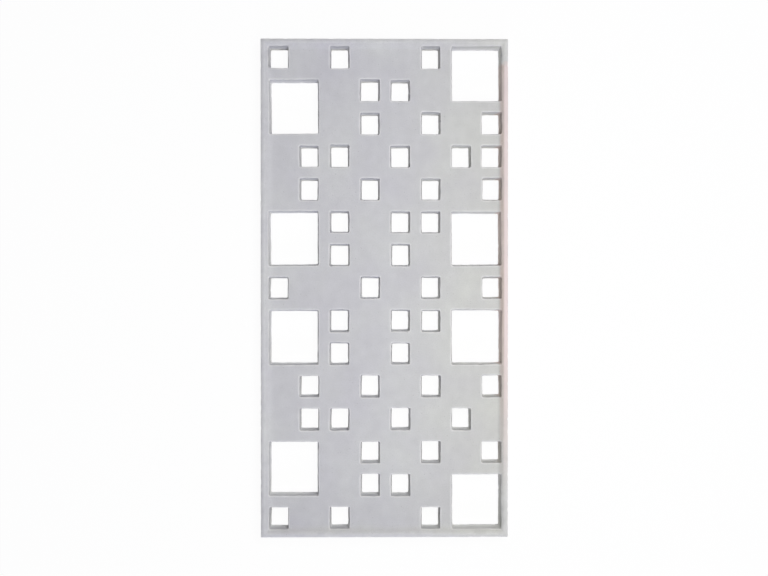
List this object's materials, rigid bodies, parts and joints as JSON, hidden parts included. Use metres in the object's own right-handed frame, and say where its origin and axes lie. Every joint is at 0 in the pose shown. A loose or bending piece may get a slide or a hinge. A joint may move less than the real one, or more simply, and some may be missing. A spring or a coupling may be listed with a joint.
{
  "type": "concrete lattice screen",
  "caption": "Flat cast concrete screen panel with a raised rim and a lattice of small and large square through-openings that taper towards the back.",
  "frame": {"origin": "middle of the back face, which lies on the ground", "axes": "+X across the panel to its right as seen from the front, +Y along it to its top, +Z out of its front, which faces up as stored"},
  "size_m": [0.6, 1.21, 0.05],
  "materials": {
    "cast_concrete": "smooth cast, matt, unsealed"
  },
  "bodies": {
    "root": {"screen_panel": "cast_concrete"}
  },
  "joints": []
}
